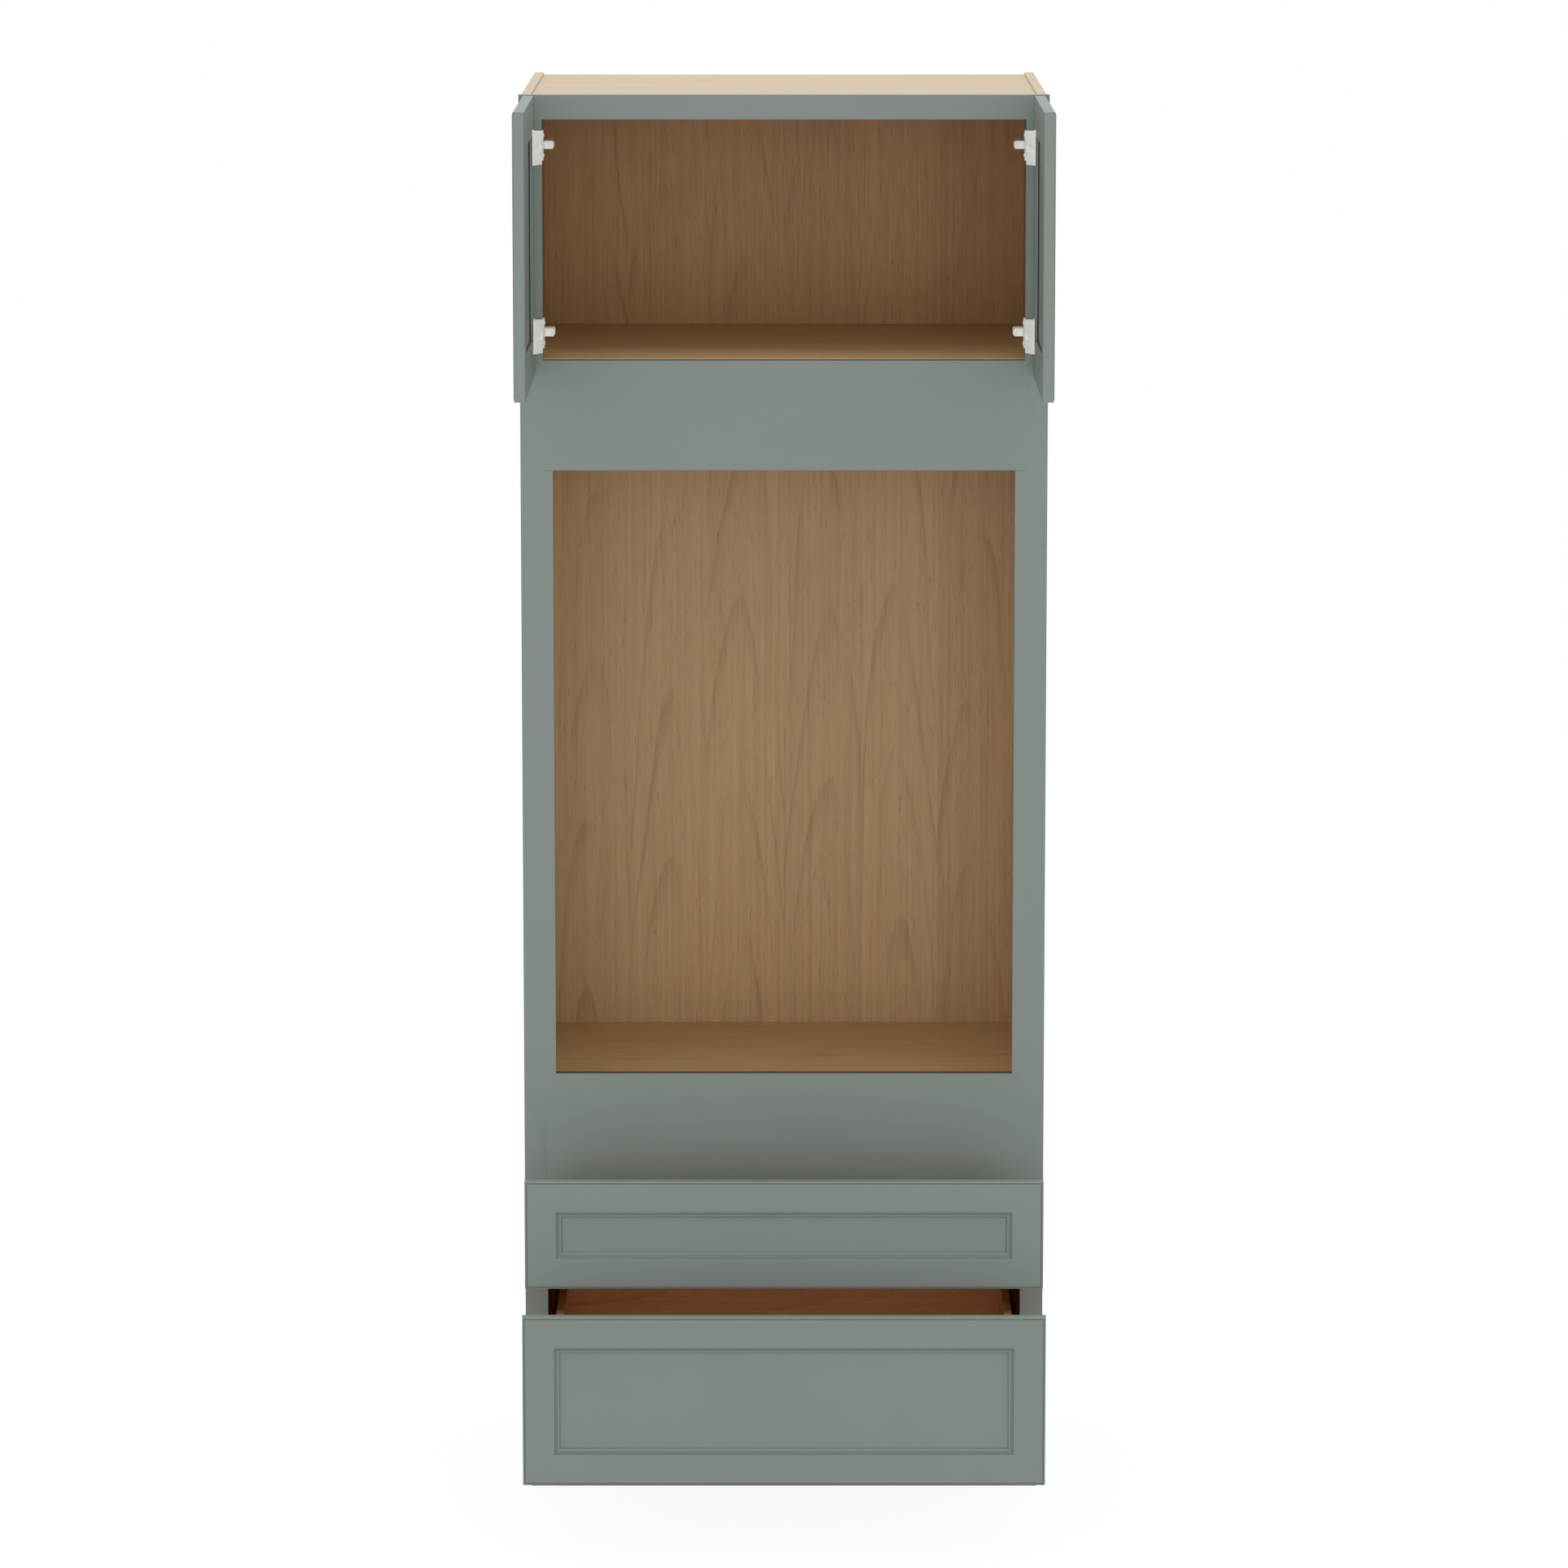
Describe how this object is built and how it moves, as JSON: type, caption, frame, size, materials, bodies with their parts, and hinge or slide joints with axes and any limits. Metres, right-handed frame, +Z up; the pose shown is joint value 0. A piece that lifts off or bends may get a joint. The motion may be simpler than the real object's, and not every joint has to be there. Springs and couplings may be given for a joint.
{
  "type": "tall oven cabinet",
  "caption": "Tall kitchen cabinet with a two-door compartment on top, an open bay for a built-in oven and two deep drawers above a recessed toe space.",
  "frame": {"origin": "on the floor, in the wall plane, at the middle of the cabinet's width", "axes": "+Y into the wall behind the cabinet, +Z up, +X to the right of a person facing the front; the doors and drawers open towards -Y"},
  "size_m": [0.838, 1.0275, 2.286],
  "materials": {
    "sage_painted_maple": "satin paint",
    "maple_veneered_plywood": "clear satin lacquer",
    "birch_ply_and_boards": "clear lacquer",
    "zinc_plated_steel": "zinc plated",
    "nickel_plated_steel": "nickel plated"
  },
  "bodies": {
    "cabinet": {"left_side_panel": "maple_veneered_plywood", "right_side_panel": "maple_veneered_plywood", "top_panel": "maple_veneered_plywood", "back_panel": "maple_veneered_plywood", "upper_floor": "maple_veneered_plywood", "oven_deck": "maple_veneered_plywood", "oven_deck_cleats": "birch_ply_and_boards", "bottom_panel": "maple_veneered_plywood", "toe_kick_board": "maple_veneered_plywood", "slide_cleats": "birch_ply_and_boards", "left_stile": "sage_painted_maple", "right_stile": "sage_painted_maple", "top_rail": "sage_painted_maple", "oven_header_rail": "sage_painted_maple", "oven_sill_rail": "sage_painted_maple", "drawer_rail": "sage_painted_maple", "bottom_rail": "sage_painted_maple", "left_oven_filler": "sage_painted_maple", "right_oven_filler": "sage_painted_maple", "left_hinge_arms": "nickel_plated_steel", "right_hinge_arms": "nickel_plated_steel", "left_hinge_plates": "nickel_plated_steel", "right_hinge_plates": "nickel_plated_steel", "slide_cabinet_members": "zinc_plated_steel"},
    "left_door": {"left_door_hinge_stile": "sage_painted_maple", "left_door_meeting_stile": "sage_painted_maple", "left_door_top_rail": "sage_painted_maple", "left_door_bottom_rail": "sage_painted_maple", "left_door_panel": "sage_painted_maple", "left_door_hinge_cups": "nickel_plated_steel"},
    "right_door": {"right_door_hinge_stile": "sage_painted_maple", "right_door_meeting_stile": "sage_painted_maple", "right_door_top_rail": "sage_painted_maple", "right_door_bottom_rail": "sage_painted_maple", "right_door_panel": "sage_painted_maple", "right_door_hinge_cups": "nickel_plated_steel"},
    "upper_drawer": {"upper_front_left_stile": "sage_painted_maple", "upper_front_right_stile": "sage_painted_maple", "upper_front_top_rail": "sage_painted_maple", "upper_front_bottom_rail": "sage_painted_maple", "upper_front_panel": "sage_painted_maple", "upper_box_left_side": "birch_ply_and_boards", "upper_box_right_side": "birch_ply_and_boards", "upper_box_front": "birch_ply_and_boards", "upper_box_back": "birch_ply_and_boards", "upper_box_bottom": "birch_ply_and_boards", "upper_slide_drawer_members": "zinc_plated_steel"},
    "upper_slide_middle": {"upper_slide_middle_members": "zinc_plated_steel"},
    "lower_drawer": {"lower_front_left_stile": "sage_painted_maple", "lower_front_right_stile": "sage_painted_maple", "lower_front_top_rail": "sage_painted_maple", "lower_front_bottom_rail": "sage_painted_maple", "lower_front_panel": "sage_painted_maple", "lower_box_left_side": "birch_ply_and_boards", "lower_box_right_side": "birch_ply_and_boards", "lower_box_front": "birch_ply_and_boards", "lower_box_back": "birch_ply_and_boards", "lower_box_bottom": "birch_ply_and_boards", "lower_slide_drawer_members": "zinc_plated_steel"},
    "lower_slide_middle": {"lower_slide_middle_members": "zinc_plated_steel"}
  },
  "joints": [
    {"name": "left_door_hinge", "type": "hinge", "parent": "cabinet", "child": "left_door", "pos_m": [-0.4055, -0.6235, 2.064], "axis": [0, 0, 1], "range_deg": [-10, 90]},
    {"name": "right_door_hinge", "type": "hinge", "parent": "cabinet", "child": "right_door", "pos_m": [0.4055, -0.6235, 2.064], "axis": [0, 0, -1], "range_deg": [-10, 90]},
    {"name": "upper_drawer_slide", "type": "slide", "parent": "cabinet", "child": "upper_drawer", "axis": [0, -1, 0], "range_m": [-0.16, 0.373]},
    {"name": "upper_slide_middle_travel", "type": "slide", "parent": "cabinet", "child": "upper_slide_middle", "axis": [0, -1, 0], "range_m": [-0.08, 0.1865]},
    {"name": "lower_drawer_slide", "type": "slide", "parent": "cabinet", "child": "lower_drawer", "axis": [0, -1, 0], "range_m": [-0.288, 0.245]},
    {"name": "lower_slide_middle_travel", "type": "slide", "parent": "cabinet", "child": "lower_slide_middle", "axis": [0, -1, 0], "range_m": [-0.144, 0.1225]}
  ],
  "couplings": [
    {"joint": "upper_slide_middle_travel", "follows": "upper_drawer_slide", "ratio": 0.5},
    {"joint": "lower_slide_middle_travel", "follows": "lower_drawer_slide", "ratio": 0.5}
  ]
}
